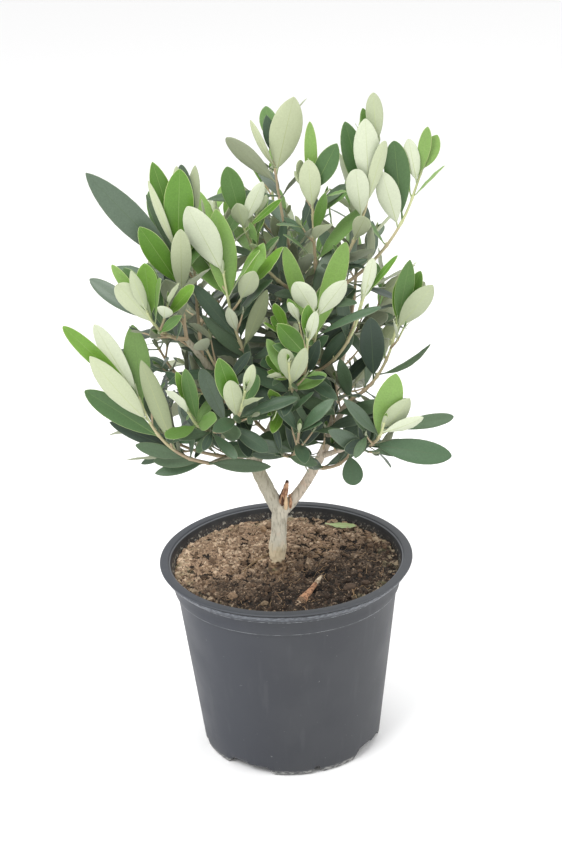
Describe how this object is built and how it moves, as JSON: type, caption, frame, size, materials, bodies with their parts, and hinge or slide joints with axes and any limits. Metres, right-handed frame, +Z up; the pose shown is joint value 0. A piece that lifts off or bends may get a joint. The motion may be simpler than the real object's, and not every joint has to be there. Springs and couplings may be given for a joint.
{
  "type": "potted olive tree",
  "caption": "Young olive tree with a short forked trunk and a dense crown of narrow leaves, in a tapered round nursery pot filled with potting soil.",
  "frame": {"origin": "centre of the pot's flat underside, on the level it stands on", "axes": "+Z up along the pot's axis, +X to the right and +Y to the back of the side that shows the fork's pruned stub"},
  "size_m": [0.265, 0.2347, 0.5],
  "materials": {
    "pot_plastic": "dark slate-grey moulded polypropylene, soft sheen, dusty scuffs",
    "soil": "crumbly brown potting soil",
    "bark": "grey-beige young olive bark, matt",
    "old_leaves": "dark grey-green leathery upper side, silvery under side",
    "young_leaves": "bright green satin upper side, pale silvery under side",
    "chip_wood": "weathered wood splinter",
    "dry_leaf": "fallen pale-green leaf"
  },
  "bodies": {
    "root": {"back_high": "young_leaves", "back_left": "young_leaves", "back_left_high": "young_leaves", "back_left_limb": "bark", "back_limb": "bark", "back_low": "young_leaves", "back_low_left": "old_leaves", "back_low_right": "old_leaves", "back_mid": "young_leaves", "back_right": "young_leaves", "back_right_high": "young_leaves", "back_right_limb": "bark", "centre": "young_leaves", "centre_front": "young_leaves", "centre_left": "young_leaves", "centre_left_low": "old_leaves", "centre_limb": "bark", "centre_low_front": "young_leaves", "fallen_leaf": "dry_leaf", "heart_old": "old_leaves", "heart_right_old": "old_leaves", "leader": "bark", "left_bough": "bark", "left_front": "young_leaves", "left_front_b": "young_leaves", "left_front_limb": "bark", "left_high": "young_leaves", "left_limb": "bark", "left_low_old": "old_leaves", "left_mid": "young_leaves", "left_old": "old_leaves", "left_top": "young_leaves", "low_left": "young_leaves", "low_left_limb": "bark", "low_mid": "old_leaves", "low_mid_limb": "bark", "pot": "pot_plastic", "pruned_stub": "bark", "right": "young_leaves", "right_bough": "bark", "right_limb": "bark", "right_low": "young_leaves", "right_low_limb": "bark", "right_low_old": "old_leaves", "right_mid": "young_leaves", "soil": "soil", "top_left": "young_leaves", "top_mid": "old_leaves", "top_right_a": "young_leaves", "top_right_b": "young_leaves", "top_upper": "young_leaves", "trunk": "bark", "upper_leader": "bark", "wood_chip": "chip_wood"}
  },
  "joints": []
}
